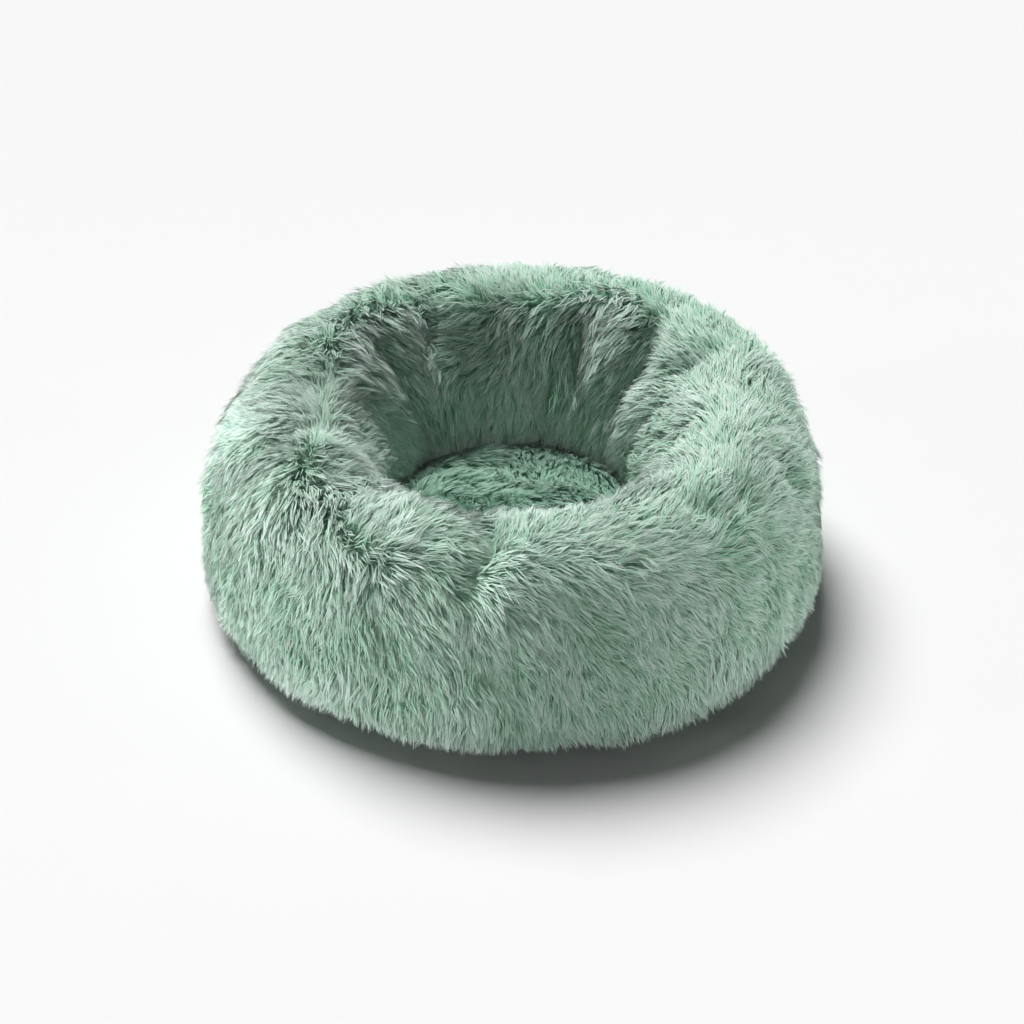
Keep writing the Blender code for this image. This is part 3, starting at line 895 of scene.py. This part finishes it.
def soft_ring(name, reach, height, half_width, half_height, ribs, rib_depth):
    """Ring of tape or elastic, flattened, with ribs or stitches round it."""
    deselect()
    bpy.ops.mesh.primitive_torus_add(major_segments=360, minor_segments=10, major_radius=reach,
                                     minor_radius=half_width)
    ring = bpy.context.object
    ring.name = name
    points = get_points(ring)
    turn = np.arctan2(points[:, 1], points[:, 0])
    out = np.hypot(points[:, 0], points[:, 1]) - reach
    rib = 1 - rib_depth / half_width * (0.5 + 0.5 * np.cos(ribs * turn))
    out *= rib
    rise = points[:, 2] * half_height / half_width * rib
    set_points(ring, np.stack([(reach + out) * np.cos(turn), (reach + out) * np.sin(turn), height + rise], 1))
    return ring


def arc_strip(name, reach, low, high, middle, half_turn, columns):
    """Strip of cloth round part of a circle."""
    deselect()
    bpy.ops.mesh.primitive_grid_add(x_subdivisions=columns, y_subdivisions=3, size=1)
    strip = bpy.context.object
    strip.name = name
    points = get_points(strip)
    turn = middle - 2 * half_turn * points[:, 0]
    height = low + (high - low) * (points[:, 1] + 0.5)
    set_points(strip, np.stack([reach * np.cos(turn), reach * np.sin(turn), height], 1))
    return strip


def scatter(name, shape, places):
    """One piece made of a small shape repeated at each place."""
    corners, faces = shape
    mesh = bpy.data.meshes.new(name)
    mesh.from_pydata((places[:, None] + corners[None]).reshape(-1, 3).tolist(), [],
                     [[index * len(corners) + corner for corner in face]
                      for index in range(len(places)) for face in faces])
    piece = bpy.data.objects.new(name, mesh)
    bpy.context.scene.collection.objects.link(piece)
    return piece


# The base, its zip and the seams

def make_base(cloth_material, dot_material):
    """Coated cloth under the bed with its edge turned up, cut open at the back for the zip."""
    corner = 0.0030
    floor_reach = np.linspace(base_radius - corner, 0, 22)
    section = [(base_radius, wall_top), (base_radius, zip_slot_high), (base_radius, zip_slot_low),
               (base_radius - 0.0006, corner * 0.5), *((reach, sole_rise) for reach in floor_reach)]
    sheet = turned_sheet("base_sheet", section, 180)
    points = get_points(sheet)
    turn = np.arctan2(points[:, 1], points[:, 0])
    reach = np.hypot(points[:, 0], points[:, 1])
    for edge in (math.pi / 2 - zip_half_turn, math.pi / 2 + zip_half_turn):
        turn = np.where(np.abs(turn - edge) < math.radians(1), edge, turn)
    flat = smooth_step(reach, 0.10, 0.14) * (1 - smooth_step(reach, 0.19, 0.205))
    rise = points[:, 2] + flat * 0.0012 * (0.5 + 0.25 * ripple(points, 0.05, 91).clip(-2, 2))
    set_points(sheet, np.stack([reach * np.cos(turn), reach * np.sin(turn), rise], 1))
    middles = np.array([face.center for face in sheet.data.polygons])
    off = np.abs(np.arctan2(middles[:, 1], middles[:, 0]) - math.pi / 2)
    open_face = (off < zip_half_turn) & (middles[:, 2] > zip_slot_low) & (middles[:, 2] < zip_slot_high)
    activate(sheet)
    bpy.context.tool_settings.mesh_select_mode = (False, False, True)
    sheet.data.vertices.foreach_set("select", np.zeros(len(sheet.data.vertices), bool))
    sheet.data.edges.foreach_set("select", np.zeros(len(sheet.data.edges), bool))
    sheet.data.polygons.foreach_set("select", open_face)
    bpy.ops.object.mode_set(mode="EDIT")
    bpy.ops.mesh.delete(type="FACE")
    bpy.ops.object.mode_set(mode="OBJECT")
    bpy.context.tool_settings.mesh_select_mode = (True, False, False)
    finish_cloth(sheet, 0.0009, "bed", "base_cloth", cloth_material, "base_cloth")
    deselect()
    bpy.ops.mesh.primitive_cone_add(vertices=6, radius1=0.0011, radius2=0.0017, depth=sole_rise,
                                    location=(0, 0, sole_rise / 2), end_fill_type="NGON")
    dot = bpy.context.object
    shape = (get_points(dot) + np.array([0, 0, sole_rise / 2]), [list(face.vertices) for face in dot.data.polygons])
    bpy.data.objects.remove(dot)
    span = int(base_radius / dot_pitch) + 1
    grid = [(column + (row % 2) / 2, row * math.sqrt(0.75)) for row in range(-span - 3, span + 4)
            for column in range(-span, span + 1)]
    places = np.array([(x * dot_pitch, y * dot_pitch, 0) for x, y in grid
                       if math.hypot(x, y) * dot_pitch < base_radius - 0.012])
    hand_over(scatter("grip_dots", shape, places), "bed", "base_cloth", dot_material)


def make_coil(name, middle_height, material, replaced):
    """Row of zip teeth: one wire wound round the zip's arc."""
    wire = 0.0003
    low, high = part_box(replaced)
    half_height = (high.z - low.z) / 2 - wire
    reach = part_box(replaced)[1].y - 0.0010
    turns = int(2 * zip_half_turn * reach / 0.0016)
    phase = np.arange(turns * 8 + 1) / 8 * 2 * math.pi
    angle = math.pi / 2 - zip_half_turn + 2 * zip_half_turn * np.arange(len(phase)) / (len(phase) - 1)
    out = reach + (0.0010 - wire) * np.cos(phase)
    points = np.stack([out * np.cos(angle), out * np.sin(angle), middle_height + half_height * np.sin(phase),
                       np.ones(len(phase))], 1)
    curve = bpy.data.curves.new(name, "CURVE")
    curve.dimensions = "3D"
    spline = curve.splines.new("POLY")
    spline.points.add(len(points) - 1)
    spline.points.foreach_set("co", points.ravel())
    curve.bevel_depth = wire
    curve.bevel_resolution = 0
    curve.use_fill_caps = True
    coil = bpy.data.objects.new(name, curve)
    bpy.context.scene.collection.objects.link(coil)
    hand_over(coil, "bed", "zip_plastic", material, replaced)


def middle_height(node):
    low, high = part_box(node)
    return (low.z + high.z) / 2


def make_zip(tape_material, coil_material):
    for side in ("lower", "upper"):
        low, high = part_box(f"zip_tape_{side}")
        tape = arc_strip(f"zip_tape_{side}_cloth", high.y, low.z, high.z, math.pi / 2, zip_half_turn, 120)
        finish_cloth(tape, 0.0006, "bed", "binding_tape", tape_material, f"zip_tape_{side}")
        make_coil(f"zip_coil_{side}_wire", middle_height(f"zip_coil_{side}"), coil_material, f"zip_coil_{side}")


def make_seams(binding_material, elastic_material, label_material):
    seams = (("outer_seam_tape", "outer_seam_binding", "bed", "binding_tape", binding_material, 0.0020, 320),
             ("cushion_seam_tape", "cushion_edge_binding", "centre_cushion", "binding_tape", binding_material,
              0.0020, 150),
             ("gather_elastic_band", "gather_elastic", "bed", "elastic", elastic_material, 0.0030, 130))
    for name, node, body, slot, material, half_width, ribs in seams:
        low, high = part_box(node)
        ring = soft_ring(name, high.x - half_width, middle_height(node), half_width, (high.z - low.z) / 2,
                         ribs, 0.0003)
        hand_over(ring, body, slot, material, node)
    low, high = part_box("care_label")
    centre = (low + high) / 2
    reach = math.hypot(centre.x, centre.y)
    label = arc_strip("care_label_cloth", reach, low.z, high.z, math.atan2(centre.y, centre.x),
                      label_width / 2 / reach, 12)
    points = get_points(label)
    curl = ((high.z - points[:, 2]) / (high.z - low.z)) ** 2 * 0.0020
    points[:, :2] *= (1 + curl / reach)[:, None]
    set_points(label, points)
    finish_cloth(label, 0.0004, "bed", "label_satin", label_material, "care_label")


# What is inside

def make_insides(fold_lines, liner_material, fibre_material):
    for name, node, slot, material, inset, lump in (
            ("bolster_liner_bag", "bolster_liner", "nonwoven", liner_material, skin_depth + 0.0060, 0.0006),
            ("bolster_fibre", "bolster_filling", "fibre_filling", fibre_material, skin_depth + 0.0100, 0.0022)):
        ring = make_ring(name, inset, 120, 32)
        points = get_points(ring)
        middle = unit(points * np.array([1, 1, 0])) * crest_radius + np.array([0, 0, waist_height])
        points += unit(middle - points) * (lump * (1 + 0.4 * ripple(points, 0.05, 97).clip(-2, 2)))[:, None]
        set_points(ring, points)
        press(ring, fold_lines, -1)
        hand_over(ring, "bed", slot, material, node)
    low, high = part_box("cushion_filling")
    deselect()
    bpy.ops.mesh.primitive_uv_sphere_add(segments=48, ring_count=24, radius=1)
    fibre = bpy.context.object
    fibre.name = "cushion_fibre"
    points = get_points(fibre)
    out = np.hypot(points[:, 0], points[:, 1])
    across = unit(points * np.array([1, 1, 0])) * (np.clip(out, 0, 1) ** 0.8)[:, None]
    flat = np.sign(points[:, 2]) * np.abs(points[:, 2]) ** 0.6
    shaped = np.stack([across[:, 0] * high.x, across[:, 1] * high.x,
                       (low.z + high.z) / 2 + flat * (high.z - low.z) / 2], 1)
    shaped *= (1 - 0.02 * (0.5 + 0.25 * ripple(shaped, 0.04, 98).clip(-2, 2)))[:, None]
    set_points(fibre, shaped)
    hand_over(fibre, "centre_cushion", "fibre_filling", fibre_material, "cushion_filling")


def make_pad_underside(material):
    low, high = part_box("cushion_underside")
    bowl = superellipse((0.0, high.z), high.x, low.z - high.z, 2.6, 18)
    sheet = turned_sheet("cushion_lower_cloth", [tuple(point) for point in bowl], 72)
    points = get_points(sheet)
    reach = np.hypot(points[:, 0], points[:, 1])
    turn = np.arctan2(points[:, 1], points[:, 0])
    pucker = smooth_step(reach, 0.078, 0.092) * 0.0006 * (0.5 + 0.5 * np.cos(48 * turn))
    points[:, 2] += pucker
    set_points(sheet, points)
    finish_cloth(sheet, 0.0008, "centre_cushion", "base_cloth", material, "cushion_underside")


# Stage, light and camera

def make_stage():
    """Round pale floor, and a pale studio beyond it that sheds little light itself."""
    deselect()
    bpy.ops.mesh.primitive_circle_add(vertices=96, radius=floor_reach, fill_type="NGON", location=(0, 0, -floor_gap))
    floor = bpy.context.object
    floor.name = "floor"
    material, tree, shader = new_material("pale_floor")
    shader.inputs["Base Color"].default_value = (0.712, 0.712, 0.712, 1)
    shader.inputs["Roughness"].default_value = 0.9
    shader.inputs["Specular IOR Level"].default_value = 0.0
    floor.data.materials.append(material)
    world = bpy.data.worlds.new("studio")
    bpy.context.scene.world = world
    world.use_nodes = True
    nodes, links = world.node_tree.nodes, world.node_tree.links
    path = nodes.new("ShaderNodeLightPath")
    brightness = nodes.new("ShaderNodeMapRange")
    brightness.inputs["To Min"].default_value = 0.065
    brightness.inputs["To Max"].default_value = 0.955
    links.new(path.outputs["Is Camera Ray"], brightness.inputs["Value"])
    nodes["Background"].inputs["Color"].default_value = (1, 1, 1, 1)
    links.new(brightness.outputs[0], nodes["Background"].inputs["Strength"])


def add_lamp(name, kind, place, strength, **settings):
    """Lamp aimed at the bed and out of the camera's sight."""
    lamp = bpy.data.lights.new(name, kind)
    lamp.energy = strength
    for key, value in settings.items():
        setattr(lamp, key, value)
    holder = bpy.data.objects.new(name, lamp)
    holder.location = place
    holder.rotation_euler = (lamp_aim - Vector(place)).to_track_quat("-Z", "Y").to_euler()
    holder.visible_camera = False
    bpy.context.scene.collection.objects.link(holder)


def make_lights():
    add_lamp("key", "SUN", (-1.42, 2.60, 4.85), 4.55, angle=math.radians(33))
    for name, place, power in (("front_fill", (1.4, -4.4, 0.10), 26), ("left_fill", (-4.5, -0.95, 0.10), 180),
                               ("right_fill", (4.4, -0.2, 0.10), 84)):
        add_lamp(name, "AREA", place, power, shape="DISK", size=0.30)
    add_lamp("well_fill", "SPOT", (0.1, -1.75, 1.30), 22, spot_size=math.radians(9.6), spot_blend=1.0,
             shadow_soft_size=0.10)


bpy.context.scene.view_settings.view_transform = "Standard"
camera = make_camera()
make_stage()
make_lights()

mint_fur = fur_material("mint_fur", (0.18, 0.42, 0.28), (0.42, 0.615, 0.50), (0.79, 0.86, 0.825))
# The cushion's pile is a darker, greener copy of the ring's fur: painted shade for the well it lies in
pad_fur = fur_material("cushion_fur", (0.11, 0.31, 0.195), (0.29, 0.48, 0.38), (0.52, 0.66, 0.585))
fur_backing = plain_cloth("fur_backing", (0.17, 0.34, 0.24), (0.25, 0.44, 0.33), 400)

deselect()
pile_tree = turned_tree(ring_section(-0.001))
ring_cloth = make_ring("bolster_cloth", skin_depth + 0.0015, 160, 40)
heights = get_points(ring_cloth)[:, 2]
puff(ring_cloth, heights < skirt_height + 0.004, 0.004)
fold_lines = read_lines(camera, pile_tree, ring_cloth, folds)
press(ring_cloth, fold_lines, -1)
press(ring_cloth, read_lines(camera, pile_tree, ring_cloth, swells), 1)
smoother = ring_cloth.modifiers.new("finer", "SUBSURF")
smoother.levels = smoother.render_levels = 1
apply_modifiers(ring_cloth)
ring_cloth.data.shade_smooth()
ring_cloth.data.materials.append(fur_backing)
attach(ring_cloth, "bed")
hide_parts("bolster_fur")
ring_marks = read_marks(camera, pile_tree, wall_marks + rim_marks + well_marks + crest_marks)
standing_spots = read_lines(camera, pile_tree, ring_cloth, standing)
grow_ring_fur(ring_cloth, ring_marks, fold_lines, standing_spots, mint_fur)

pad_tree = turned_tree(pad_section(0.0))
pad_skin = make_pad_top(fur_backing)
grow_pad_fur(pad_skin, read_marks(camera, pad_tree, pad_marks), pad_fur)

base_weave = woven_cloth("base_weave", (0.035, 0.050, 0.045), (0.10, 0.13, 0.12), 900)
grip = plain_cloth("grip_dots", (0.16, 0.19, 0.18), (0.24, 0.27, 0.26), 500, 0.6)
tape_weave = woven_cloth("tape_weave", (0.12, 0.24, 0.19), (0.30, 0.47, 0.40), 1400)
elastic_weave = woven_cloth("elastic_weave", (0.45, 0.45, 0.43), (0.75, 0.75, 0.72), 1100)
satin = woven_cloth("label_satin", (0.62, 0.62, 0.60), (0.86, 0.86, 0.84), 2600, 0.45)
liner_cloth = plain_cloth("liner_cloth", (0.62, 0.63, 0.62), (0.80, 0.81, 0.80), 900)
fibre = plain_cloth("fibre", (0.70, 0.71, 0.70), (0.88, 0.88, 0.87), 260)
coil_plastic = plain_cloth("coil_plastic", (0.10, 0.20, 0.16), (0.16, 0.28, 0.23), 600, 0.4)
metal = brushed_metal("zip_metal_brushed")
for node in ("zip_slider", "zip_pull"):
    bpy.data.objects[node].material_slots[0].material = metal
for node in ("zip_stop_start", "zip_stop_end"):
    bpy.data.objects[node].material_slots[0].material = coil_plastic
make_base(base_weave, grip)
make_zip(tape_weave, coil_plastic)
make_seams(tape_weave, elastic_weave, satin)
make_insides(fold_lines, liner_cloth, fibre)
make_pad_underside(base_weave)
